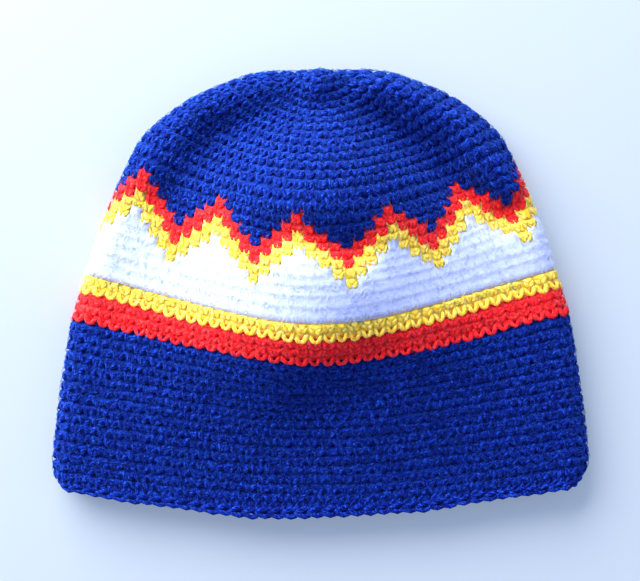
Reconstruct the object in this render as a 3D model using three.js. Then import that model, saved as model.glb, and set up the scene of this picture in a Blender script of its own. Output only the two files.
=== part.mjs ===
// A crocheted beanie, worked in the round and lying on its back: X to the right, Y towards the
// crown, Z up from the surface that it lies on. Sizes are in millimetres.
// The wall is one thick layer of single crochet. Its middle surface is a stack of closed rings, one
// for each round of stitches, and each section of yarn is a band of that surface with two faces.
import * as THREE from 'three';

// The fabric. The gap between two sections is measured up a column of stitches, so it is narrower
// where a border runs aslant.
const WALL = 4.4;
const GAP = 0.4;
const ROUND_HEIGHT = 4.9;
const STITCHES = 80;
const HALF_WALL = WALL / 2;
const HALF_GAP = GAP / 2 / ROUND_HEIGHT;

// Rounds, counted from the edge of the opening, at which the yarn changes colour
const EDGE_TOP = 1;
const BODY_TOP = 17;
const RED_TOP = 20;
const YELLOW_TOP = 22;
const WHITE_VALLEY = 25;
const ZIGZAG_THICKNESS = 2;
const ZIGZAG_STITCHES = 8;
const LAST_RING = 49.4;
const POLE = 50;

// The form of the hat as it lies. Each line is one round of stitches:
// side   half of the width over the two side folds
// sideY  where the round passes over the side folds
// midY   where it crosses the middle of the hat, above and below
// top    height of the upper layer in the middle
// fold   height of the side folds
// back   height of the lower layer
// bend   how the round turns in the middle: small is like a V, large is like a U
// dome   how the upper layer swells: 1 is broad, 4 is a narrow hump with low flanks
const FORM = [
  { round: 0, side: 128.2, sideY: -97, midY: -111.3, top: 15.5, fold: 8.8, back: 2.2, bend: 0.8, dome: 1 },
  { round: 1, side: 131.4, sideY: -91.8, midY: -104.8, top: 15.6, fold: 8.8, back: 2.2, bend: 0.8, dome: 1 },
  { round: 2.5, side: 132.8, sideY: -84.8, midY: -97.9, top: 16, fold: 8.9, back: 2.2, bend: 0.7, dome: 1 },
  { round: 5, side: 131.8, sideY: -72.3, midY: -85.8, top: 18, fold: 9.2, back: 2.2, bend: 0.5, dome: 1.2 },
  { round: 11, side: 127.8, sideY: -42.5, midY: -58.5, top: 27, fold: 10, back: 2.2, bend: 0.4, dome: 2 },
  { round: 17, side: 122.6, sideY: -12.8, midY: -34.4, top: 42, fold: 10.8, back: 2.2, bend: 0.35, dome: 2.8 },
  { round: 20, side: 118.9, sideY: 0.5, midY: -23.6, top: 47.5, fold: 11, back: 2.2, bend: 0.35, dome: 3 },
  { round: 22, side: 116, sideY: 9.8, midY: -15, top: 49.5, fold: 11, back: 2.2, bend: 0.35, dome: 3.2 },
  { round: 25, side: 111.4, sideY: 25.3, midY: 0.4, top: 51, fold: 11, back: 2.2, bend: 0.4, dome: 3.6 },
  { round: 29, side: 103.2, sideY: 46.2, midY: 18.6, top: 51.8, fold: 10.8, back: 2.2, bend: 0.55, dome: 4.2 },
  { round: 33, side: 95.2, sideY: 63.9, midY: 36.6, top: 51.5, fold: 10.4, back: 2.2, bend: 0.55, dome: 4.2 },
  { round: 35, side: 88.8, sideY: 76, midY: 48, top: 49, fold: 10.2, back: 2.2, bend: 0.7, dome: 4.2 },
  { round: 37, side: 80, sideY: 84.8, midY: 57, top: 44.5, fold: 10, back: 2.2, bend: 1, dome: 4 },
  { round: 40, side: 64.1, sideY: 96.1, midY: 69.5, top: 36, fold: 9.8, back: 2.2, bend: 1, dome: 3.6 },
  { round: 43, side: 45.7, sideY: 104, midY: 81.2, top: 27.5, fold: 9.8, back: 2.2, bend: 1, dome: 2.8 },
  { round: 45, side: 33.4, sideY: 108, midY: 89.3, top: 22, fold: 9.8, back: 2.2, bend: 1, dome: 2 },
  { round: 47, side: 20.3, sideY: 109.2, midY: 97.6, top: 17, fold: 10, back: 2.2, bend: 1, dome: 1.5 },
  { round: 50, side: 0, sideY: 109.2, midY: 109.2, top: 10, fold: 10, back: 10, bend: 1, dome: 1 },
];
// Width of a side fold to its height, and how much each round rises to the right, as the hat lies askew
const FOLD_ROUNDNESS = 1.1;
const LEAN = 0.011;

// The stitches that lie on the left fold, in the middle of the upper layer and on the right fold,
// counted from the tip of a zigzag
const STITCH_PLACES = [
  { round: 0, left: -18.8, middle: 1.4, right: 21.4 },
  { round: 20, left: -19.2, middle: 1.4, right: 22.2 },
  { round: 25, left: -19.4, middle: 1.5, right: 22.4 },
  { round: 29, left: -19.3, middle: 1.8, right: 22.9 },
  { round: 33, left: -19.4, middle: 2.1, right: 24.1 },
  { round: 50, left: -18.6, middle: 2.1, right: 21.4 },
];

// Hollows in the upper layer, each along a line of points seen from above, with its depth and its reach to
// both sides. The fabric rolls over along the outline of the crown: a roll stands up, so its depth is
// negative.
const HOLLOWS = [
  { name: 'left crease', line: [[-13, 99], [-52, 75]], depth: 7.5, reach: 16 },
  { name: 'right crease', line: [[13, 102], [32, 80], [71, 50], [89, 40]], depth: 12, reach: 9.5 },
  { name: 'left roll', line: [[-86, 58], [-60, 86], [-30, 99], [0, 103]], depth: -5, reach: 10 },
  { name: 'right roll', line: [[0, 103], [40, 97], [70, 78], [90, 50]], depth: -9, reach: 10 },
  { name: 'between the peaks', line: [[-19, 27], [15, 21]], depth: 8, reach: 10 },
  { name: 'under the stripes', line: [[-3, -56], [25, -32]], depth: 5.5, reach: 18 },
];
// The lowest that the middle of the upper layer lies in a hollow, just clear of the lower layer. Towards the
// pole, where the two layers meet, this rises to the height of the fold.
const LOWEST = 7.4;
const RISE_TO_POLE = 0.25;

// One column of a table at any round: a smooth curve through the lines that never overshoots.
function columnAt(table, column, round) {
  const last = table.length - 1;
  let start = 0;
  while (start < last - 1 && round > table[start + 1].round) start += 1;
  const slope = (i) => (table[i + 1][column] - table[i][column]) / (table[i + 1].round - table[i].round);
  const tangent = (i) => {
    if (i === 0) return slope(0);
    if (i === last) return slope(last - 1);
    const product = slope(i - 1) * slope(i);
    return product <= 0 ? 0 : (2 * product) / (slope(i - 1) + slope(i));
  };
  const from = table[start];
  const to = table[start + 1];
  const span = to.round - from.round;
  const t = (round - from.round) / span;
  const startPart = (from[column] * (1 + 2 * t) + tangent(start) * span * t) * (1 - t) ** 2;
  const endPart = (to[column] * (3 - 2 * t) - tangent(start + 1) * span * (1 - t)) * t ** 2;
  return startPart + endPart;
}

// All the columns of a table at one round.
function lineAt(table, round) {
  const line = {};
  for (const column of Object.keys(table[0])) line[column] = columnAt(table, column, round);
  return line;
}

// How far a point lies from the stretch between two others.
function distanceToStretch(point, start, end) {
  const from = new THREE.Vector2(...start);
  const along = new THREE.Vector2(...end).sub(from);
  const share = THREE.MathUtils.clamp(point.clone().sub(from).dot(along) / along.lengthSq(), 0, 1);
  return point.distanceTo(from.addScaledVector(along, share));
}

// How far the hollows press the upper layer down at a point.
function hollowDepth(x, y) {
  const point = new THREE.Vector2(x, y);
  return HOLLOWS.reduce((total, { line, depth, reach }) => {
    const distances = line.slice(1).map((end, i) => distanceToStretch(point, line[i], end));
    return total + depth * Math.exp(-((Math.min(...distances) / reach) ** 2));
  }, 0);
}

// A height pressed down by a depth, less and less as it comes near the lowest.
function pressed(height, lowest, depth) {
  if (depth <= 0) return height - depth;
  const room = Math.max(height - lowest, 0.001);
  return height - room * (1 - Math.exp(-depth / room));
}

// A point of the middle surface on one ring. The angle is 0 in the middle of the upper layer, a
// quarter turn on the right fold and half a turn in the middle of the lower layer.
function ringPoint(ring, angle) {
  const across = Math.sin(angle);
  const rise = ring.fold - ring.back;
  const flatShare = ring.side > 0 ? Math.max(0, 1 - (FOLD_ROUNDNESS * rise) / ring.side) : 0;
  const intoFold = Math.max(0, Math.abs(across) - flatShare) / (1 - flatShare);
  const foldShare = Math.sqrt(Math.max(0, 1 - intoFold ** 2));
  const bendShare = (Math.hypot(across, ring.bend) - ring.bend) / (Math.hypot(1, ring.bend) - ring.bend);
  const x = ring.side * across;
  const y = ring.midY + (ring.sideY - ring.midY) * bendShare + LEAN * x;
  if (Math.cos(angle) < 0) return new THREE.Vector3(x, y, ring.fold - rise * foldShare);
  const swell = (ring.top - ring.fold - rise) * (1 - across ** 2) ** ring.dome;
  const lowest = Math.max(LOWEST, ring.fold - RISE_TO_POLE * ring.side);
  const height = ring.fold + rise * foldShare + swell;
  return new THREE.Vector3(x, y, pressed(height, lowest, hollowDepth(x, y) * foldShare));
}

// The angle on a ring at a stitch, with the stitches evenly spaced along each stretch of the ring.
const STRETCH_STEPS = 60;
const QUARTER = Math.PI / 2;
function stitchAngle(ring, places, stitch) {
  const turned = places.left + THREE.MathUtils.euclideanModulo(stitch - places.left, STITCHES);
  const stretches = [
    { from: places.left, to: places.middle, start: -QUARTER, turn: QUARTER },
    { from: places.middle, to: places.right, start: 0, turn: QUARTER },
    { from: places.right, to: places.left + STITCHES, start: QUARTER, turn: 2 * QUARTER },
  ];
  const stretch = stretches.find((part) => turned <= part.to) ?? stretches[2];
  const angleAt = (step) => stretch.start + (stretch.turn * step) / STRETCH_STEPS;
  const lengths = [0];
  for (let step = 1; step <= STRETCH_STEPS; step += 1) {
    const chord = ringPoint(ring, angleAt(step)).distanceTo(ringPoint(ring, angleAt(step - 1)));
    lengths.push(lengths[step - 1] + chord);
  }
  const wanted = (lengths[STRETCH_STEPS] * (turned - stretch.from)) / (stretch.to - stretch.from);
  let step = 1;
  while (step < STRETCH_STEPS && lengths[step] < wanted) step += 1;
  return angleAt(step - 1 + (wanted - lengths[step - 1]) / (lengths[step] - lengths[step - 1]));
}

// The two faces of the wall at a round and a stitch, each half of the wall from its middle surface.
const SMALL_TURN = 0.01;
const SMALL_ROUND = 0.1;
function wallPoints(round, stitch) {
  const ring = lineAt(FORM, round);
  const angle = stitchAngle(ring, lineAt(STITCH_PLACES, round), stitch);
  const middle = ringPoint(ring, angle);
  const around = ringPoint(ring, angle + SMALL_TURN).sub(ringPoint(ring, angle - SMALL_TURN));
  const above = ringPoint(lineAt(FORM, Math.min(round + SMALL_ROUND, POLE)), angle);
  const below = ringPoint(lineAt(FORM, Math.max(round - SMALL_ROUND, 0)), angle);
  const outward = around.cross(above.sub(below)).setLength(HALF_WALL);
  return { outer: middle.clone().add(outward), inner: middle.clone().sub(outward), outward };
}

// The triangles of a band whose points are numbered ring by ring, with an outer and an inner point
// at each stitch. A band that is closed at the top ends in an outer and an inner pole.
function bandFaces(steps, closed) {
  const faces = [];
  const outer = (step, stitch) => 2 * (step * STITCHES + (stitch % STITCHES));
  const inner = (step, stitch) => outer(step, stitch) + 1;
  const outerPole = 2 * STITCHES * (steps + 1);
  const innerPole = outerPole + 1;
  for (let stitch = 0; stitch < STITCHES; stitch += 1) {
    const next = stitch + 1;
    for (let step = 0; step < steps; step += 1) {
      const up = step + 1;
      faces.push(outer(step, stitch), outer(step, next), outer(up, next));
      faces.push(outer(step, stitch), outer(up, next), outer(up, stitch));
      faces.push(inner(step, stitch), inner(up, next), inner(step, next));
      faces.push(inner(step, stitch), inner(up, stitch), inner(up, next));
    }
    faces.push(outer(0, next), outer(0, stitch), inner(0, next));
    faces.push(outer(0, stitch), inner(0, stitch), inner(0, next));
    if (closed) {
      faces.push(outer(steps, stitch), outer(steps, next), outerPole);
      faces.push(inner(steps, next), inner(steps, stitch), innerPole);
    } else {
      faces.push(outer(steps, stitch), outer(steps, next), inner(steps, next));
      faces.push(outer(steps, stitch), inner(steps, next), inner(steps, stitch));
    }
  }
  return faces;
}

// A band of the wall between two borders, each a function from a stitch to a round.
function bandGeometry({ low, high, steps, closed = false }) {
  const positions = [];
  const poleOutward = new THREE.Vector3();
  for (let step = 0; step <= steps; step += 1) {
    for (let stitch = 0; stitch < STITCHES; stitch += 1) {
      const start = low(stitch) + HALF_GAP;
      const end = closed ? high(stitch) : high(stitch) - HALF_GAP;
      const wall = wallPoints(THREE.MathUtils.lerp(start, end, step / steps), stitch);
      positions.push(...wall.outer, ...wall.inner);
      if (step === steps) poleOutward.add(wall.outward);
    }
  }
  if (closed) {
    const pole = ringPoint(lineAt(FORM, POLE), 0);
    poleOutward.setLength(HALF_WALL);
    positions.push(...pole.clone().add(poleOutward), ...pole.clone().sub(poleOutward));
  }
  const geometry = new THREE.BufferGeometry();
  geometry.setAttribute('position', new THREE.Float32BufferAttribute(positions, 3));
  geometry.setIndex(bandFaces(steps, closed));
  geometry.computeVertexNormals();
  return geometry;
}

// Borders between the sections of yarn. The zigzag goes four rounds up and four down, a round to a stitch.
const level = (round) => () => round;
const whiteZigzag = (stitch) => WHITE_VALLEY + Math.abs((stitch % ZIGZAG_STITCHES) - ZIGZAG_STITCHES / 2);
const yellowZigzag = (stitch) => whiteZigzag(stitch) + ZIGZAG_THICKNESS;
const redZigzag = (stitch) => yellowZigzag(stitch) + ZIGZAG_THICKNESS;

// The yarns
const BLUE = '#1c45b4';
const RED = '#da2a33';
const YELLOW = '#f2c843';
const WHITE = '#eaeef8';
const YARN_ROUGHNESS = 0.9;

// The sections, from the opening to the crown
const PIECES = [
  { name: 'brim_edge', yarn: BLUE, low: level(0), high: level(EDGE_TOP), steps: 1 },
  { name: 'body', yarn: BLUE, low: level(EDGE_TOP), high: level(BODY_TOP), steps: 7 },
  { name: 'stripe_red', yarn: RED, low: level(BODY_TOP), high: level(RED_TOP), steps: 2 },
  { name: 'stripe_yellow', yarn: YELLOW, low: level(RED_TOP), high: level(YELLOW_TOP), steps: 1 },
  { name: 'white_band', yarn: WHITE, low: level(YELLOW_TOP), high: whiteZigzag, steps: 3 },
  { name: 'zigzag_yellow', yarn: YELLOW, low: whiteZigzag, high: yellowZigzag, steps: 1 },
  { name: 'zigzag_red', yarn: RED, low: yellowZigzag, high: redZigzag, steps: 1 },
  { name: 'crown', yarn: BLUE, low: redZigzag, high: level(LAST_RING), steps: 13, closed: true },
];

const hat = new THREE.Group();
PIECES.forEach((piece) => {
  const finish = { color: piece.yarn, roughness: YARN_ROUGHNESS, metalness: 0 };
  const mesh = new THREE.Mesh(bandGeometry(piece), new THREE.MeshStandardMaterial(finish));
  mesh.name = piece.name;
  hat.add(mesh);
});

export default hat;
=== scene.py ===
# A crocheted beanie lying on its back on a pale table, seen from straight above. The frame is in
# metres; sizes of the fabric are in millimetres, and MM turns them into metres where a mesh is made.
import math

import bmesh
import bpy
import numpy as np
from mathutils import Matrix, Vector


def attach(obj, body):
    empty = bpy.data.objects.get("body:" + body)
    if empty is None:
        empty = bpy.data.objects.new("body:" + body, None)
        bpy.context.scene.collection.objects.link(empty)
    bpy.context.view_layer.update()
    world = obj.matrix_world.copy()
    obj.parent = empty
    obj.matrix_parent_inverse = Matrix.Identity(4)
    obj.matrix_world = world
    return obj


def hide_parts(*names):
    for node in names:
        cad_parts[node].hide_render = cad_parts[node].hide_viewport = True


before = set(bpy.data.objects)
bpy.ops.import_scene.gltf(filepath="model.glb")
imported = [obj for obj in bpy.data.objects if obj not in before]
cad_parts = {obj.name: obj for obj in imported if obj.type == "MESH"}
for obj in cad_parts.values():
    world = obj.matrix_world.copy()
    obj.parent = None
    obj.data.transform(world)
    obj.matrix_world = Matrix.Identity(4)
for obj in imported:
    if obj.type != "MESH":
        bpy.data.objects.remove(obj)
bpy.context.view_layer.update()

MM = 0.001

# The body is the blue part between the edge and the stripes. Like the rest of the hat it is one layer of
# single crochet in acrylic yarn, worked round after round towards the crown. Half of each round rests on
# the table, and the other half puffs up over it.

# The form that the rounds lie in goes on over the whole hat. Its columns are the round, half its width over
# the side folds, where it passes over the folds and the middle in Y, the heights of its top, folds and
# back, its bend in the middle, and how narrow its hump is.
FORM = (
    (0, 128.2, -97.0, -111.3, 15.5, 8.8, 2.2, 0.8, 1.0),
    (1, 131.4, -91.8, -104.8, 15.6, 8.8, 2.2, 0.8, 1.0),
    (2.5, 132.8, -84.8, -97.9, 16.0, 8.9, 2.2, 0.7, 1.0),
    (5, 131.8, -72.3, -85.8, 18.0, 9.2, 2.2, 0.5, 1.2),
    (11, 127.8, -42.5, -58.5, 27.0, 10.0, 2.2, 0.4, 2.0),
    (17, 122.6, -12.8, -34.4, 42.0, 10.8, 2.2, 0.35, 2.8),
    (20, 118.9, 0.5, -23.6, 47.5, 11.0, 2.2, 0.35, 3.0),
    (22, 116.0, 9.8, -15.0, 49.5, 11.0, 2.2, 0.35, 3.2),
    (25, 111.4, 25.3, 0.4, 51.0, 11.0, 2.2, 0.4, 3.6),
    (29, 103.2, 46.2, 18.6, 51.8, 10.8, 2.2, 0.55, 4.2),
    (33, 95.2, 63.9, 36.6, 51.5, 10.4, 2.2, 0.55, 4.2),
    (35, 88.8, 76.0, 48.0, 49.0, 10.2, 2.2, 0.7, 4.2),
    (37, 80.0, 84.8, 57.0, 44.5, 10.0, 2.2, 1.0, 4.0),
    (40, 64.1, 96.1, 69.5, 36.0, 9.8, 2.2, 1.0, 3.6),
    (43, 45.7, 104.0, 81.2, 27.5, 9.8, 2.2, 1.0, 2.8),
    (45, 33.4, 108.0, 89.3, 22.0, 9.8, 2.2, 1.0, 2.0),
    (47, 20.3, 109.2, 97.6, 17.0, 10.0, 2.2, 1.0, 1.5),
    (50, 0.0, 109.2, 109.2, 10.0, 10.0, 10.0, 1.0, 1.0),
)
POLE = 50
STITCHES = 80
FOLD_ROUNDNESS = 1.1
LEAN = 0.011
# The stitches that lie on the left fold, in the middle and on the right fold, at a few rounds
STITCH_PLACES = (
    (0, -18.8, 1.4, 21.4),
    (20, -19.2, 1.4, 22.2),
    (25, -19.4, 1.5, 22.4),
    (29, -19.3, 1.8, 22.9),
    (33, -19.4, 2.1, 24.1),
    (50, -18.6, 2.1, 21.4),
)
# Hollows in the upper layer: the line that each runs along, seen from above, its depth and its reach to
# both sides. The roll along the outline of the crown stands up instead, so its depth is negative.
LEFT_CREASE = (((-13, 99), (-52, 75)), 7.5, 16)
RIGHT_CREASE = (((13, 102), (32, 80), (71, 50), (89, 40)), 12, 9.5)
LEFT_ROLL = (((-86, 58), (-60, 86), (-30, 99), (0, 103)), -5, 10)
RIGHT_ROLL = (((0, 103), (40, 97), (70, 78), (90, 50)), -9, 10)
BETWEEN_PEAKS = (((-19, 27), (15, 21)), 8, 10)
UNDER_STRIPES = (((-3, -56), (25, -32)), 5.5, 18)
HOLLOWS = (LEFT_CREASE, RIGHT_CREASE, LEFT_ROLL, RIGHT_ROLL, BETWEEN_PEAKS, UNDER_STRIPES)
# The lowest that the middle of the upper layer lies, where it touches the lower layer, and how steeply
# this rises to the top of the crown, where the layers meet
LOWEST = 7.4
RISE_TO_POLE = 0.25
# Small lengths that keep a width or a room of nothing from dividing by zero
LEAST_WIDTH = 1e-6
LEAST_ROOM = 0.001


def at_rounds(table, rounds):
    """The columns of a table at many rounds, on smooth curves that never overshoot its lines."""
    table = np.array(table, float)
    known, columns = table[:, 0], table[:, 1:]
    spans = np.diff(known)[:, None]
    slopes = np.diff(columns, axis=0) / spans
    product = slopes[:-1] * slopes[1:]
    total = np.where(product > 0, slopes[:-1] + slopes[1:], 1)
    inner = np.where(product > 0, 2 * product / total, 0)
    tangents = np.vstack([slopes[:1], inner, slopes[-1:]])
    line = np.clip(np.searchsorted(known, rounds, side="right") - 1, 0, len(spans) - 1)
    t = ((rounds - known[line]) / spans[line, 0])[:, None]
    low = (columns[line] * (1 + 2 * t) + tangents[line] * spans[line] * t) * (1 - t) ** 2
    high = (columns[line + 1] * (3 - 2 * t) - tangents[line + 1] * spans[line] * (1 - t)) * t**2
    return low + high


def hollow_depth(x, y):
    """How far the hollows press the upper layer down at points seen from above."""
    total = np.zeros_like(x)
    for line, depth, reach in HOLLOWS:
        nearest = np.full_like(x, np.inf)
        for start, end in zip(line, line[1:]):
            along = np.subtract(end, start)
            share = ((x - start[0]) * along[0] + (y - start[1]) * along[1]) / (along @ along)
            share = np.clip(share, 0, 1)
            off_line = np.hypot(x - start[0] - share * along[0], y - start[1] - share * along[1])
            nearest = np.minimum(nearest, off_line)
        total += depth * np.exp(-((nearest / reach) ** 2))
    return total


def pressed(height, lowest, depth):
    """A height pressed down by a depth, less and less as it comes near the lowest."""
    room = np.maximum(height - lowest, LEAST_ROOM)
    return height - np.where(depth > 0, room * (1 - np.exp(-np.maximum(depth, 0) / room)), depth)


def ring_points(lines, angles):
    """Points in the middle of the fabric, on one ring for each line of the form."""
    side, side_y, middle_y, top, fold, back, bend, dome = (column[:, None] for column in lines.T)
    across = np.sin(angles)
    rise = fold - back
    flat = np.clip(1 - FOLD_ROUNDNESS * rise / np.maximum(side, LEAST_WIDTH), 0, None)
    into_fold = np.clip(np.abs(across) - flat, 0, None) / np.maximum(1 - flat, LEAST_WIDTH)
    fold_share = np.sqrt(np.clip(1 - into_fold**2, 0, None))
    bend_share = (np.hypot(across, bend) - bend) / (np.hypot(1, bend) - bend)
    x = side * across
    y = middle_y + (side_y - middle_y) * bend_share + LEAN * x
    swell = (top - fold - rise) * np.clip(1 - across**2, 0, 1) ** dome
    lowest = np.maximum(LOWEST, fold - RISE_TO_POLE * side)
    upper = pressed(fold + rise * fold_share + swell, lowest, hollow_depth(x, y) * fold_share)
    z = np.where(np.cos(angles) < 0, fold - rise * fold_share, upper)
    return np.stack([x, y, z], axis=-1)


# The fabric is measured once on a fine grid: a quarter of a round by a quarter of a stitch, with the
# stitches evenly spaced between the folds and the middle, and two rows more below the opening.
GRID_STEP = 0.25
ROWS_BELOW = 2
STEPS_TO_A_QUARTER = 180


def fabric_grid():
    """The middle of the fabric and its outward normals, for each row and column of the grid."""
    rounds = np.arange(0, POLE + GRID_STEP / 2, GRID_STEP)
    stitches = np.arange(0, STITCHES, GRID_STEP)
    lines = at_rounds(FORM, rounds)
    quarter = STEPS_TO_A_QUARTER
    turn = np.radians(np.linspace(-90, 270, 4 * quarter + 1))
    outline = ring_points(lines, np.broadcast_to(turn, (len(rounds), len(turn))))
    chords = np.linalg.norm(np.diff(outline, axis=1), axis=2)
    lengths = np.hstack([np.zeros((len(rounds), 1)), np.cumsum(chords, axis=1)])
    angles = np.empty((len(rounds), len(stitches)))
    for row, (left, middle, right) in enumerate(at_rounds(STITCH_PLACES, rounds)):
        turned = left + (stitches - left) % STITCHES
        marks = (left, middle, right, left + STITCHES)
        measured = lengths[row, [0, quarter, 2 * quarter, 4 * quarter]]
        angles[row] = np.interp(np.interp(turned, marks, measured), lengths[row], turn)
    points = ring_points(lines, angles)
    below = [2 * points[0] - points[row] for row in range(ROWS_BELOW, 0, -1)]
    points = np.concatenate([below, points])
    around = np.roll(points, -1, axis=1) - np.roll(points, 1, axis=1)
    normals = np.cross(around, np.gradient(points, axis=0))
    # The last ring is a point, so its normal is the average of those of a ring around it.
    normals[-1] = normals[-3].sum(axis=0)
    normals /= np.linalg.norm(normals, axis=2, keepdims=True)
    return points, normals


GRID_POINTS, GRID_NORMALS = fabric_grid()
# Just before the last row, so that each place has a row after it to blend with
LAST_PLACE = len(GRID_POINTS) - 1.0001


def on_fabric(rounds, stitches, heights):
    """Points in metres, each at a round, a stitch and a height above the middle of the fabric. The table
    presses flat what would stand out below."""
    row = np.clip(rounds / GRID_STEP + ROWS_BELOW, 0, LAST_PLACE)
    column = stitches % STITCHES / GRID_STEP
    row_start, column_start = row.astype(int), column.astype(int) % GRID_POINTS.shape[1]
    row_share = (row - row_start)[..., None]
    column_share = (column - column.astype(int))[..., None]
    next_column = (column_start + 1) % GRID_POINTS.shape[1]

    def along_row(grid, rows):
        return grid[rows, column_start] * (1 - column_share) + grid[rows, next_column] * column_share

    def blend(grid):
        return along_row(grid, row_start) * (1 - row_share) + along_row(grid, row_start + 1) * row_share

    normal = blend(GRID_NORMALS)
    normal /= np.linalg.norm(normal, axis=-1, keepdims=True)
    points = blend(GRID_POINTS) + normal * heights[..., None]
    points[..., 2] = np.maximum(points[..., 2], 0)
    return points * MM


# Each stitch is a V of plied yarn whose tip comes out between the legs of the stitch below, with the flat
# top of the round lying behind the legs. On the wrong side a strand runs slantwise behind it. Points along
# the yarn of one stitch are in millimetres: across, up from the foot of the round, and outwards.
STITCH_WIDTH = 6.4
ROUND_HEIGHT = 4.9
YARN_RADIUS = 1.25
YARN_SIDES = 6
YARN_FLATNESS = 0.75
V_PATH = (
    (-3.2, 4.7, -0.6),
    (-2.9, 4.1, 0.4),
    (-2.2, 3.1, 1.1),
    (-1.2, 1.3, 1.05),
    (0.0, 0.8, 0.2),
    (1.2, 1.3, 1.05),
    (2.2, 3.1, 1.1),
    (2.9, 4.1, 0.4),
    (3.2, 4.7, -0.6),
)
BACK_PATH = ((-3.2, 1.5, -0.9), (-1.1, 2.4, -1.25), (1.1, 2.4, -1.25), (3.2, 3.3, -0.9))
BACK_RADIUS = 0.9
BACK_SIDES = 4
# Corners of a mesh that lie closer than this are one corner
SAME_PLACE = 1e-5


def yarn_piece(bm, path, radius, sides):
    """A length of yarn: a flat grid rolled up along a path, with its seam on the inner side."""
    path = np.array(path)
    steps = len(path) - 1
    uv_layer = bm.loops.layers.uv.verify()
    vectors = bm.verts.layers.float_vector
    middle_layer = vectors.get("middle") or vectors.new("middle")
    made = bmesh.ops.create_grid(bm, x_segments=sides, y_segments=steps, size=0.5, calc_uvs=True)
    run = np.gradient(path, axis=0)
    run /= np.linalg.norm(run, axis=1, keepdims=True)
    lengths = np.concatenate([[0], np.cumsum(np.linalg.norm(np.diff(path, axis=0), axis=1))])
    places = {}
    for vert in made["verts"]:
        around = vert.co.x + 0.5
        step = round((vert.co.y + 0.5) * steps)
        places[vert] = (around, lengths[step])
        sideways = np.cross(run[step], (0, 0, 1))
        sideways /= np.linalg.norm(sideways)
        outwards = np.cross(sideways, run[step])
        turn = 2 * math.pi * around
        offset = radius * (math.sin(turn) * sideways - math.cos(turn) * outwards)
        vert[middle_layer] = path[step]
        vert.co = path[step] + offset
    for face in {face for vert in made["verts"] for face in vert.link_faces}:
        for loop in face.loops:
            loop[uv_layer].uv = places[loop.vert]
    bmesh.ops.remove_doubles(bm, verts=made["verts"], dist=SAME_PLACE)


def stitch_pattern(*lengths_of_yarn):
    """One stitch as arrays: middles of the yarn, offsets from them, faces, and the UV of each corner."""
    bm = bmesh.new()
    for path, radius, sides in lengths_of_yarn:
        yarn_piece(bm, path, radius, sides)
    bm.verts.index_update()
    middle_layer = bm.verts.layers.float_vector["middle"]
    uv_layer = bm.loops.layers.uv.verify()
    middles = np.array([vert[middle_layer][:] for vert in bm.verts])
    offsets = np.array([vert.co[:] for vert in bm.verts]) - middles
    faces = np.array([[vert.index for vert in face.verts] for face in bm.faces])
    corners = np.array([[loop[uv_layer].uv[:] for loop in face.loops] for face in bm.faces])
    bm.free()
    return middles, offsets, faces, corners


SINGLE_CROCHET = stitch_pattern((V_PATH, YARN_RADIUS, YARN_SIDES))
WRONG_SIDE = stitch_pattern((BACK_PATH, BACK_RADIUS, BACK_SIDES))

# Which yarn each stitch is worked in. The sections start at these rounds. The border of those that follow
# the zigzag is higher by up to four rounds, with a peak at every eighth stitch.
SECTION_STARTS = (
    ("brim_edge", 0),
    ("body", 1),
    ("stripe_red", 17),
    ("stripe_yellow", 20),
    ("white_band", 22),
)
ZIGZAG_STARTS = (("zigzag_yellow", 25), ("zigzag_red", 27), ("crown", 29))
PEAK_WIDTH = 8


def section_at(round_, stitch):
    """The section of yarn that a stitch belongs to."""
    above_valley = abs(stitch % PEAK_WIDTH - PEAK_WIDTH // 2)
    started = [section for section, start in SECTION_STARTS if round_ >= start]
    started += [section for section, start in ZIGZAG_STARTS if round_ >= start + above_valley]
    return started[-1]


FIRST_SHORT_ROUND = 33
NARROW_STITCH = 5.5
FEWEST_STITCHES = 7


def stitches_in(round_):
    """How many stitches a round has: all of them up to the zigzag, and fewer and fewer in the crown."""
    if round_ < FIRST_SHORT_ROUND:
        return STITCHES
    ring = GRID_POINTS[round((round_ + 0.5) / GRID_STEP) + ROWS_BELOW]
    length = np.linalg.norm(ring - np.roll(ring, 1, axis=0), axis=1).sum()
    return max(FEWEST_STITCHES, round(length / NARROW_STITCH))


def stitches_of(section):
    """The stitches of a section, each with its round, its place in the round and its width."""
    found = []
    for round_ in range(POLE):
        count = stitches_in(round_)
        for number in range(count):
            if section_at(round_, number if count == STITCHES else 0) == section:
                found.append((round_, number * STITCHES / count, STITCHES / count))
    return np.array(found)


# How unevenly a hand works. The spreads of a stitch's thickness and width are shares of them, and those of
# its place to the side, upwards and inwards are in millimetres. It also slants: it leans to the side by a
# share of how far up it goes, about a point 2 mm above its foot.
THICKNESS_SPREAD = 0.07
THINNEST = 0.83
THICKEST = 1.12
WIDTH_SPREAD = 0.05
SIDE_SPREAD = 0.16
UP_SPREAD = 0.22
INWARD_SPREAD = 0.12
DEEPEST = -0.3
SLANT_SPREAD = 0.05
SLANTS_ABOUT = 2
# Each round wavers by a share of its height. A wave has so much turn for each stitch, and for each round.
WAVER = 0.07
WAVES = ((0.55, 2.1), (0.23, -1.3))
# Every stitch takes its streaks from its own place along this much yarn.
YARN_LENGTH = 400


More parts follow.
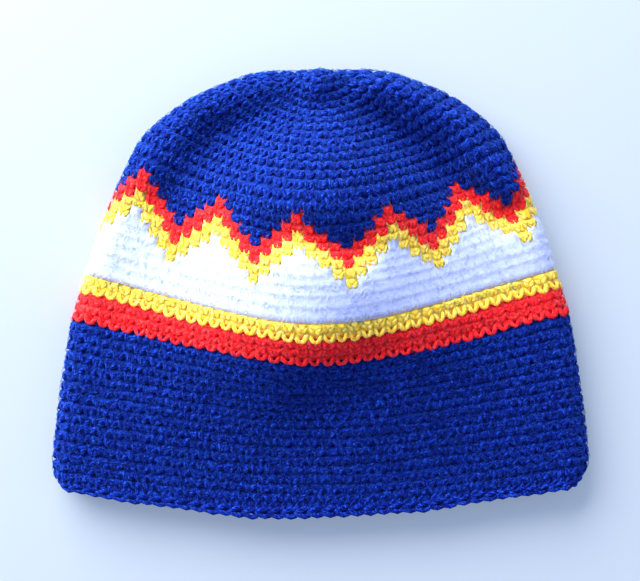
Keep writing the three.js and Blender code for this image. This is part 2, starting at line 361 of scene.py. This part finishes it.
def work_stitches(stitches, pattern, rng, unevenness=1.0, sunk=0.0, round_shifts=None):
    """Points, faces and corner UVs of a pattern worked at each stitch, each a little different."""
    middles, offsets, faces, corners = pattern
    count = len(stitches)

    def uneven(spread):
        return rng.normal(0, spread * unevenness, (count, 1))

    thickness = np.clip(1 + uneven(THICKNESS_SPREAD), THINNEST, THICKEST)
    across = (middles[:, 0] + offsets[:, 0] * thickness) * (1 + uneven(WIDTH_SPREAD)) + uneven(SIDE_SPREAD)
    up = middles[:, 1] + offsets[:, 1] * thickness + uneven(UP_SPREAD)
    inward = np.clip(uneven(INWARD_SPREAD), DEEPEST, 0.0)
    out = middles[:, 2] + offsets[:, 2] * YARN_FLATNESS * thickness + inward - sunk
    across = across + uneven(SLANT_SPREAD) * (up - SLANTS_ABOUT)
    rounds, places, widths = (column[:, None] for column in stitches.T)
    if round_shifts is not None:
        places = places + round_shifts[rounds.astype(int)] * widths
    rise = sum(WAVER * np.sin(places * along + rounds * upwards) for along, upwards in WAVES)
    points = on_fabric(rounds + up / ROUND_HEIGHT + rise, places + across / STITCH_WIDTH * widths, out)
    all_faces = faces[None] + (np.arange(count) * len(middles))[:, None, None]
    uvs = corners[None] + np.array([0, 1]) * rng.uniform(0, YARN_LENGTH, (count, 1, 1, 1))
    return points.reshape(-1, 3), all_faces.reshape(-1, 4), uvs.reshape(-1, 2)


# The inside of the fabric is a dense wall of yarn, drawn as strands that run around the hat. These are the
# heights of the yarn behind the V, at the foot of a round, at a third and at two thirds of it: in the
# middle of a stitch, where the tops of the loops fill the V, and between two stitches. Along the edge the
# fabric has a row of open gaps between the stitches, from the second third of the first round on.
BACKING_ROWS = 3
BACKING_COLUMNS = 2
BEHIND_MIDDLE = (-0.1, 0.8, 1.8)
BEHIND_GAP = (-0.2, 0.6, 1.8)
EDGE_MIDDLE = (0.0, 0.6, 0.9, 1.0, 1.2, 1.7)
EDGE_GAP = (0.0, 0.4, 0.1, -0.3, 0.1, 1.3)
STRAND_WIDTH = 1.6
INSIDE = -1.3
RIDGE = 1.8
# The first rounds of the red and the yellow stripe are open: the round below shows behind the V, up to a
# third of its height, as it does in the zigzag.
OPEN_ROUNDS = (17, 20)
OPEN_MIDDLE = -0.3
FIRST_ZIGZAG_ROUND = 25
ROUND_BELOW_SHOWS = 0.34


def backing(section, relief):
    """The dense inside of a section: a shell with a ridge for each round that shows between the stitches."""
    bm = bmesh.new()
    place_layer = bm.verts.layers.float_vector.new("place")
    rows, columns = POLE * BACKING_ROWS, STITCHES * BACKING_COLUMNS
    bmesh.ops.create_grid(bm, x_segments=columns, y_segments=rows, size=0.5)
    others = []
    for face in bm.faces:
        centre = face.calc_center_median()
        height = (centre.y + 0.5) * POLE
        if int(height) in OPEN_ROUNDS or height > FIRST_ZIGZAG_ROUND:
            height -= ROUND_BELOW_SHOWS
        if section_at(int(height), int((centre.x + 0.5) * STITCHES)) != section:
            others.append(face)
    bmesh.ops.delete(bm, geom=others, context="FACES")
    places = np.array([vert.co[:2] for vert in bm.verts]) + 0.5
    row = np.rint(places[:, 1] * rows).astype(int)
    column = np.rint(places[:, 0] * columns).astype(int)
    in_middle = column % BACKING_COLUMNS == 1
    third = row % BACKING_ROWS
    heights = np.where(in_middle, np.take(BEHIND_MIDDLE, third), np.take(BEHIND_GAP, third))
    along_edge = np.minimum(row, len(EDGE_GAP) - 1)
    edge_heights = np.where(in_middle, np.take(EDGE_MIDDLE, along_edge), np.take(EDGE_GAP, along_edge))
    heights = np.where(row < len(EDGE_GAP), edge_heights, heights)
    heights = RIDGE - (RIDGE - heights) * relief
    heights[np.isin(row // BACKING_ROWS, OPEN_ROUNDS) & (third > 0) & in_middle] = OPEN_MIDDLE
    # At the top of the crown the wall comes together in the middle of the fabric.
    heights[row == rows] = 0
    rounds, stitches = row / BACKING_ROWS, column / BACKING_COLUMNS
    points = on_fabric(rounds, stitches - 0.5, heights)
    uv_layer = bm.loops.layers.uv.verify()
    for vert, point, round_, stitch in zip(bm.verts, points, rounds, stitches):
        for loop in vert.link_loops:
            loop[uv_layer].uv = (round_ * ROUND_HEIGHT / STRAND_WIDTH, stitch * STITCH_WIDTH)
        vert[place_layer] = (round_, stitch - 0.5, 0)
        vert.co = point
    bmesh.ops.remove_doubles(bm, verts=bm.verts, dist=SAME_PLACE)
    bmesh.ops.recalc_face_normals(bm, faces=bm.faces)
    made = bmesh.ops.extrude_face_region(bm, geom=bm.faces[:], use_keep_orig=True)
    inner = [part for part in made["geom"] if isinstance(part, bmesh.types.BMVert)]
    places = np.array([vert[place_layer][:2] for vert in inner])
    points = on_fabric(places[:, 0], places[:, 1], np.full(len(inner), INSIDE))
    for vert, point in zip(inner, points):
        vert.co = point
    bmesh.ops.recalc_face_normals(bm, faces=bm.faces)
    return bm


def new_object(name, data):
    """An object with its data, in the scene."""
    made = bpy.data.objects.new(name, data)
    bpy.context.scene.collection.objects.link(made)
    return made


def fabric_piece(section, parts, relief=1.0):
    """A section as one mesh: its backing and the stitches worked over it."""
    bm = backing(section, relief)
    bm.verts.index_update()
    points = [np.array([vert.co[:] for vert in bm.verts])]
    # Extruding makes the faces along a border in any order, so all are sorted, the same way in each run.
    ordered = sorted(bm.faces, key=lambda face: [vert.index for vert in face.verts])
    faces = [[vert.index for vert in face.verts] for face in ordered]
    uv_layer = bm.loops.layers.uv.verify()
    corner_uvs = [np.array([loop[uv_layer].uv[:] for face in ordered for loop in face.loops])]
    bm.free()
    total = len(points[0])
    for part_points, part_faces, part_uvs in parts:
        points.append(part_points)
        faces += (part_faces + total).tolist()
        corner_uvs.append(part_uvs)
        total += len(part_points)
    mesh = bpy.data.meshes.new(section + "_crochet")
    mesh.from_pydata(np.concatenate(points).tolist(), [], faces)
    layer = mesh.uv_layers.new(name="yarn")
    layer.data.foreach_set("uv", np.concatenate(corner_uvs).astype(np.float32).ravel())
    mesh.shade_smooth()
    return new_object(section + "_crochet", mesh)


# Single fibres stand off the yarn in flat hoops. Real ones are a fiftieth of a millimetre thick; these are
# as thick as it takes to show. Most run upwards, along the legs of the V.
FIBRES_TO_A_STITCH = 8
FIBRE_RADIUS = 0.08
FIBRE_SIDES = 3
FIBRE_STEPS = 2
FIBRE_HEADING_SPREAD = 0.8
FIBRE_LENGTHS = (1.5, 4.5)
FIBRE_BOW = 0.8
FIBRE_LIFTS = (0.1, 1.0)
YARN_SURFACE = 1.5
# The hoop is a bow, a little lower at its end than at its start: it runs from -0.8 to 0.9 of its half span.
HOOP_SPAN = 1.7
HOOP_START = 0.8


def loose_fibres(name, stitches, rng):
    """Single fibres that stand off the yarn: thin bent strands that start and end in the stitches."""
    stitches = np.repeat(stitches, FIBRES_TO_A_STITCH, axis=0)
    count = len(stitches)
    rounds, places, widths = (column[:, None] for column in stitches.T)
    heading = rng.normal(math.pi / 2, FIBRE_HEADING_SPREAD, (count, 1))
    length = rng.uniform(*FIBRE_LENGTHS, (count, 1))
    bow = rng.uniform(-FIBRE_BOW, FIBRE_BOW, (count, 1))
    start_across = rng.uniform(-STITCH_WIDTH / 2, STITCH_WIDTH / 2, (count, 1))
    start_up = rng.uniform(0, ROUND_HEIGHT, (count, 1))
    lift = rng.uniform(*FIBRE_LIFTS, (count, 1))
    share = np.linspace(0, 1, FIBRE_STEPS + 1)[None]
    bend = bow * np.sin(math.pi * share)
    across = start_across + length * share * np.cos(heading) - bend * np.sin(heading)
    up = start_up + length * share * np.sin(heading) + bend * np.cos(heading)
    out = YARN_SURFACE + lift * (1 - (HOOP_SPAN * share - HOOP_START) ** 2)
    turn = 2 * math.pi * np.arange(FIBRE_SIDES) / FIBRE_SIDES
    beside = FIBRE_RADIUS * np.cos(turn)[None, None]
    over = FIBRE_RADIUS * np.sin(turn)[None, None]
    across = across[..., None] - beside * np.sin(heading)[..., None]
    up = up[..., None] + beside * np.cos(heading)[..., None]
    out = out[..., None] + over
    points = on_fabric(
        (rounds[..., None] + up / ROUND_HEIGHT).reshape(count, -1),
        (places[..., None] + across / STITCH_WIDTH * widths[..., None]).reshape(count, -1),
        out.reshape(count, -1),
    )
    corner = np.arange(FIBRE_SIDES)
    next_corner = (corner + 1) % FIBRE_SIDES
    ring = np.arange(FIBRE_STEPS)[:, None] * FIBRE_SIDES
    next_ring = ring + FIBRE_SIDES
    one = np.stack([ring + corner, ring + next_corner, next_ring + next_corner, next_ring + corner], axis=-1)
    faces = one.reshape(1, -1, 4) + (np.arange(count) * points.shape[1])[:, None, None]
    mesh = bpy.data.meshes.new(name)
    mesh.from_pydata(points.reshape(-1, 3).tolist(), [], faces.reshape(-1, 4).tolist())
    mesh.uv_layers.new(name="yarn")
    mesh.shade_smooth()
    return new_object(name, mesh)


def linear(hex_colour):
    """The linear colour of an sRGB hex value."""
    parts = [int(hex_colour[i : i + 2], 16) / 255 for i in (1, 3, 5)]
    return tuple(p / 12.92 if p <= 0.04045 else ((p + 0.055) / 1.055) ** 2.4 for p in parts) + (1,)


def add(tree, kind, settings=None, **inputs):
    """Adds a node with its settings, and sets or links its inputs, by name or by number as i0, i1 or i2."""
    node = tree.nodes.new(kind)
    for name, value in (settings or {}).items():
        setattr(node, name, value)
    for name, value in inputs.items():
        socket = node.inputs[int(name[1:])] if name[0] == "i" and name[1:].isdigit() else node.inputs[name]
        if isinstance(value, bpy.types.NodeSocket):
            tree.links.new(value, socket)
        else:
            socket.default_value = value
    return node


# Acrylic yarn is spun from fine crimped fibres and twisted from plies. To the eye it is matt and soft, with
# a faint halo of fibres against the light, streaks along the plies and small patches where it lies looser.
# A fibre is too fine to show, so the streaks and specks are drawn coarser, as bunches of fibres half a
# millimetre across.
PLIES = 4
TURNS_PER_MM = 0.11
PLY_DEPTH = 0.25
STREAKS_TO_A_PLY = 3.5
STREAKS_PER_MM = 0.7
PATCHES_PER_MM = 0.45
SPECKS_PER_MM = 1.7
# How far each of these lightens or darkens the yarn, and what brings their average to the base colour
STREAK_SHADE = 1.7
PATCH_SHADE = 1.1
SPECK_SHADE = 1.2
# Painted shade: the grooves between the plies are drawn darker than the crowns of the plies.
PLY_GROOVE_PAINTED_SHADE = 0.3
SHADE_TO_BASE = -1.7
DARK_AT = 0.2
BASE_AT = 0.5
LIGHT_AT = 0.85
# How high the streaks and specks stand, next to a ply
STREAK_RELIEF = 0.6
SPECK_RELIEF = 1.6


def acrylic_yarn(name, dark, base, light, halo, depth_of_light, translucence, relief_strength):
    """Plied acrylic yarn: matt, with twisted plies and streaks of fibre. Light goes some way into it."""
    material = bpy.data.materials.new(name)
    material.use_nodes = True
    tree = material.node_tree
    tree.nodes.clear()
    uv = add(tree, "ShaderNodeUVMap", {"uv_map": "yarn"}).outputs["UV"]
    split = add(tree, "ShaderNodeSeparateXYZ", i0=uv)
    around = add(tree, "ShaderNodeMath", {"operation": "MULTIPLY"}, i0=split.outputs["X"], i1=PLIES)
    twist = add(tree, "ShaderNodeMath", {"operation": "MULTIPLY_ADD"},
                i0=split.outputs["Y"], i1=TURNS_PER_MM * PLIES, i2=around.outputs[0])
    half_turn = add(tree, "ShaderNodeMath", {"operation": "MULTIPLY"}, i0=twist.outputs[0], i1=math.pi)
    wave = add(tree, "ShaderNodeMath", {"operation": "SINE"}, i0=half_turn.outputs[0])
    ply = add(tree, "ShaderNodeMath", {"operation": "ABSOLUTE"}, i0=wave.outputs[0])
    fibre_place = add(tree, "ShaderNodeCombineXYZ", i0=twist.outputs[0], i1=split.outputs["Y"])
    fibre_scale = add(tree, "ShaderNodeVectorMath", {"operation": "MULTIPLY"},
                      i0=fibre_place.outputs[0], i1=(STREAKS_TO_A_PLY, STREAKS_PER_MM, 1.0))
    fibres = add(tree, "ShaderNodeTexNoise", i0=fibre_scale.outputs[0], Scale=1.0, Detail=3.0, Roughness=0.6)
    place = add(tree, "ShaderNodeTexCoord").outputs["Object"]
    patches = add(tree, "ShaderNodeTexNoise", i0=place, Scale=PATCHES_PER_MM / MM, Detail=2.0)
    specks = add(tree, "ShaderNodeTexNoise", i0=place, Scale=SPECKS_PER_MM / MM, Detail=1.0)
    speckled = add(tree, "ShaderNodeMath", {"operation": "MULTIPLY_ADD"},
                   i0=specks.outputs["Fac"], i1=SPECK_SHADE, i2=SHADE_TO_BASE)
    streaked = add(tree, "ShaderNodeMath", {"operation": "MULTIPLY_ADD"},
                   i0=fibres.outputs["Fac"], i1=STREAK_SHADE, i2=speckled.outputs[0])
    patched = add(tree, "ShaderNodeMath", {"operation": "MULTIPLY_ADD"},
                  i0=patches.outputs["Fac"], i1=PATCH_SHADE, i2=streaked.outputs[0])
    # The plies add painted shade, a darker colour in the grooves between them.
    shade = add(tree, "ShaderNodeMath", {"operation": "MULTIPLY_ADD"},
                i0=ply.outputs[0], i1=PLY_GROOVE_PAINTED_SHADE, i2=patched.outputs[0])
    ramp = add(tree, "ShaderNodeValToRGB", i0=shade.outputs[0])
    stops = ramp.color_ramp.elements
    stops[0].position, stops[0].color = DARK_AT, linear(dark)
    stops[1].position, stops[1].color = LIGHT_AT, linear(light)
    stops.new(BASE_AT).color = linear(base)
    relief = add(tree, "ShaderNodeMath", {"operation": "MULTIPLY_ADD"},
                 i0=fibres.outputs["Fac"], i1=STREAK_RELIEF, i2=ply.outputs[0])
    rough = add(tree, "ShaderNodeMath", {"operation": "MULTIPLY_ADD"},
                i0=specks.outputs["Fac"], i1=SPECK_RELIEF, i2=relief.outputs[0])
    bump = add(tree, "ShaderNodeBump",
               Strength=relief_strength, Distance=PLY_DEPTH * MM, Height=rough.outputs[0])
    shader = add(tree, "ShaderNodeBsdfPrincipled", Roughness=0.85, Normal=bump.outputs[0])
    tree.links.new(ramp.outputs["Color"], shader.inputs["Base Color"])
    shader.inputs["Sheen Weight"].default_value = 0.4
    shader.inputs["Sheen Roughness"].default_value = 0.5
    shader.inputs["Sheen Tint"].default_value = linear(halo)
    shader.inputs["Specular IOR Level"].default_value = 0.2
    shader.inputs["Subsurface Weight"].default_value = translucence
    shader.inputs["Subsurface Radius"].default_value = (1.0, 1.0, 1.0)
    shader.inputs["Subsurface Scale"].default_value = depth_of_light * MM
    add(tree, "ShaderNodeOutputMaterial", Surface=shader.outputs[0])
    return material


def finish_piece(piece, yarn, section=None):
    """Gives a piece its yarn and its place on the hat, where it may stand for the solid of a section."""
    piece.data.materials.append(yarn)
    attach(piece, "root")
    if section:
        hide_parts(section)


def work_section(section, yarn, seed, pattern=SINGLE_CROCHET, first_pattern=None,
                 relief=1.0, sunk=0.0, round_shifts=None):
    """Works a section in its yarn, with the wrong side of its stitches and its loose fibres. Its first
    round may have a pattern of its own."""
    rng = np.random.default_rng(seed)
    stitches = stitches_of(section)
    others = stitches
    parts = []
    if first_pattern:
        in_first = stitches[:, 0] == stitches[0, 0]
        parts.append(work_stitches(stitches[in_first], first_pattern, rng))
        others = stitches[~in_first]
    parts.append(work_stitches(others, pattern, rng, sunk=sunk, round_shifts=round_shifts))
    parts.append(work_stitches(stitches, WRONG_SIDE, rng))
    finish_piece(fabric_piece(section, parts, relief), yarn, section)
    finish_piece(loose_fibres(section + "_loose_fibres", stitches, rng), yarn)


# In the body each round starts a little further on than the one below, as rounds in single crochet do, so
# that its stitches don't stand in columns.
LEAST_SHIFT = 0.05
MOST_SHIFT = 0.6
body_shifts = np.cumsum(np.random.default_rng(10).uniform(LEAST_SHIFT, MOST_SHIFT, POLE))
BLUE_YARN = acrylic_yarn(
    "royal_blue_acrylic_yarn",
    dark="#020f54",
    base="#092a81",
    light="#2a5ab6",
    halo="#7a98ea",
    depth_of_light=0.9,
    translucence=0.8,
    relief_strength=0.9,
)
work_section("body", BLUE_YARN, seed=11, round_shifts=body_shifts)

# The edge is one round of slip stitches worked along the opening, which look like a flat chain: each is a
# V lying on its side, over two legs that reach up into the body. It is worked more evenly than the rest.
EDGE_UPPER = ((-4.2, 0.8, -0.4), (-2.2, 1.4, 0.8), (1.2, 2.7, 1.1), (3.8, 2.6, 0.0))
EDGE_LOWER = ((-4.2, 1.3, -0.4), (-2.2, 0.5, 0.8), (1.2, -0.3, 0.9), (3.8, 0.2, 0.0))
EDGE_LEFT_LEG = ((-1.5, 2.0, -0.4), (-2.0, 3.4, 0.45), (-1.5, 5.0, 0.6), (-0.6, 6.4, 0.0))
EDGE_RIGHT_LEG = ((1.5, 2.4, -0.4), (1.8, 3.6, 0.45), (1.3, 5.0, 0.6), (0.5, 6.4, 0.0))
CHAIN_RADIUS = 1.0
LEG_RADIUS = 1.15
LEG_SIDES = 5
EDGE_UNEVENNESS = 0.6
EDGE_CHAIN = stitch_pattern(
    (EDGE_UPPER, CHAIN_RADIUS, YARN_SIDES),
    (EDGE_LOWER, CHAIN_RADIUS, YARN_SIDES),
    (EDGE_LEFT_LEG, LEG_RADIUS, LEG_SIDES),
    (EDGE_RIGHT_LEG, LEG_RADIUS, LEG_SIDES),
)
edge_rng = np.random.default_rng(12)
edge_chain = work_stitches(stitches_of("brim_edge"), EDGE_CHAIN, edge_rng, unevenness=EDGE_UNEVENNESS)
finish_piece(fabric_piece("brim_edge", [edge_chain]), BLUE_YARN, "brim_edge")

# The stripes are three rounds of red and two of yellow acrylic, in the same stitch. Their rounds stand out
# less than the blue ones, and the first round of each is a row of open V's, because its stitches go into a
# round of another colour.
OPEN_V = (
    (-2.5, 5.0, 0.0),
    (-2.4, 4.1, 0.8),
    (-2.0, 2.8, 1.3),
    (-1.2, 1.2, 1.3),
    (0.0, 0.4, 0.8),
    (1.2, 1.2, 1.3),
    (2.0, 2.8, 1.3),
    (2.4, 4.1, 0.8),
    (2.5, 5.0, 0.0),
)
OPEN_RADIUS = 1.2
OPEN_CROCHET = stitch_pattern((OPEN_V, OPEN_RADIUS, YARN_SIDES))
RED_YARN = acrylic_yarn(
    "red_acrylic_yarn",
    dark="#e81e28",
    base="#ff3038",
    light="#ff5a50",
    halo="#ff8a80",
    depth_of_light=1.5,
    translucence=0.8,
    relief_strength=0.5,
)
YELLOW_YARN = acrylic_yarn(
    "yellow_acrylic_yarn",
    dark="#ffb42c",
    base="#ffcc48",
    light="#ffe68c",
    halo="#fff0b0",
    depth_of_light=1.5,
    translucence=0.9,
    relief_strength=0.3,
)
work_section("stripe_red", RED_YARN, seed=13, first_pattern=OPEN_CROCHET, relief=0.8)
work_section("stripe_yellow", YELLOW_YARN, seed=14, first_pattern=OPEN_CROCHET, relief=0.6)

# The white band is worked in the same stitch in white acrylic. It looks almost smooth, because light goes
# through the yarn and fills the gaps. So its stitches are set back and sunk in the backing, and only the
# fronts of the V's stand out of it.
SUNK_BY = 0.6
SET_BACK = 0.25
SUNK_V = tuple((across, up, out - SET_BACK) for across, up, out in OPEN_V)
SUNK_RADIUS = 1.05
SUNK_CROCHET = stitch_pattern((SUNK_V, SUNK_RADIUS, YARN_SIDES))
WHITE_YARN = acrylic_yarn(
    "white_acrylic_yarn",
    dark="#adb3d0",
    base="#b6bbd6",
    light="#c2c7de",
    halo="#ffffff",
    depth_of_light=1.5,
    translucence=1.0,
    relief_strength=0.1,
)
work_section("white_band", WHITE_YARN, seed=15, pattern=SUNK_CROCHET,
             relief=0.28, sunk=SUNK_BY)

# The zigzag is two rounds of yellow and two of red, in the yarns of the stripes. It is worked on from the
# stepped border of the white band and follows it.
work_section("zigzag_yellow", YELLOW_YARN, seed=16, relief=0.5)
work_section("zigzag_red", RED_YARN, seed=17, relief=0.65)

# The crown goes on in the blue yarn of the body. Its rounds have fewer and fewer stitches, down to seven
# that are drawn together at the top.
work_section("crown", BLUE_YARN, seed=18)

# The table is a plain, pale, matt board that fills the picture. It has a faint painted glow, an emission
# that stands in for the light of the room and lightens the shadows on it.
TABLE_WIDTH = 6.0
table_mesh = bmesh.new()
bmesh.ops.create_grid(table_mesh, x_segments=1, y_segments=1, size=TABLE_WIDTH / 2)
table_data = bpy.data.meshes.new("table")
table_mesh.to_mesh(table_data)
table_mesh.free()
table = new_object("table", table_data)
board = bpy.data.materials.new("pale_board")
board.use_nodes = True
board_inputs = board.node_tree.nodes["Principled BSDF"].inputs
board_inputs["Base Color"].default_value = linear("#959797")
board_inputs["Roughness"].default_value = 0.9
# Painted glow: the board gives off a little light of its own, which lightens the shadows on it.
board_inputs["Emission Color"].default_value = linear("#ccdef6")
board_inputs["Emission Strength"].default_value = 0.24
table_data.materials.append(board)

# Daylight comes through a large soft window beyond the crown on the left, which faces the hat, and from a
# pale room all round.
WINDOW_PLACE = Vector((-0.65, 0.93, 0.62))
WINDOW_WIDTH = 1.8
WINDOW_HEIGHT = 1.15
WINDOW_POWER = 44.0
ROOM_BRIGHTNESS = 0.78
window_light = bpy.data.lights.new("window", "AREA")
window_light.shape = "ELLIPSE"
window_light.size = WINDOW_WIDTH
window_light.size_y = WINDOW_HEIGHT
window_light.energy = WINDOW_POWER
window_light.color = linear("#f5f9ff")[:3]
window = new_object("window", window_light)
window.location = WINDOW_PLACE
window.rotation_euler = (-WINDOW_PLACE).to_track_quat("-Z", "Y").to_euler()
world = bpy.data.worlds.new("room")
bpy.context.scene.world = world
world.use_nodes = True
world.node_tree.nodes["Background"].inputs["Color"].default_value = linear("#c6d8ff")
world.node_tree.nodes["Background"].inputs["Strength"].default_value = ROOM_BRIGHTNESS

# The camera looks straight down from 0.6 m above the table, with the crown at the top of the picture. At a
# height of 12 mm, about that of the hat's folds, it takes in a field 0.32 m wide.
CAMERA_HEIGHT = 0.6
CAMERA_X = -0.00025
CAMERA_Y = 0.0005
FIELD_WIDTH = 0.32
FIELD_HEIGHT = 0.012
SENSOR = 36.0
camera_data = bpy.data.cameras.new("camera")
camera_data.sensor_width = SENSOR
camera_data.lens = SENSOR * (CAMERA_HEIGHT - FIELD_HEIGHT) / FIELD_WIDTH
camera = new_object("camera", camera_data)
camera.location = (CAMERA_X, CAMERA_Y, CAMERA_HEIGHT)
bpy.context.scene.camera = camera
bpy.context.scene.view_settings.view_transform = "Standard"
bpy.context.scene.view_settings.look = "High Contrast"
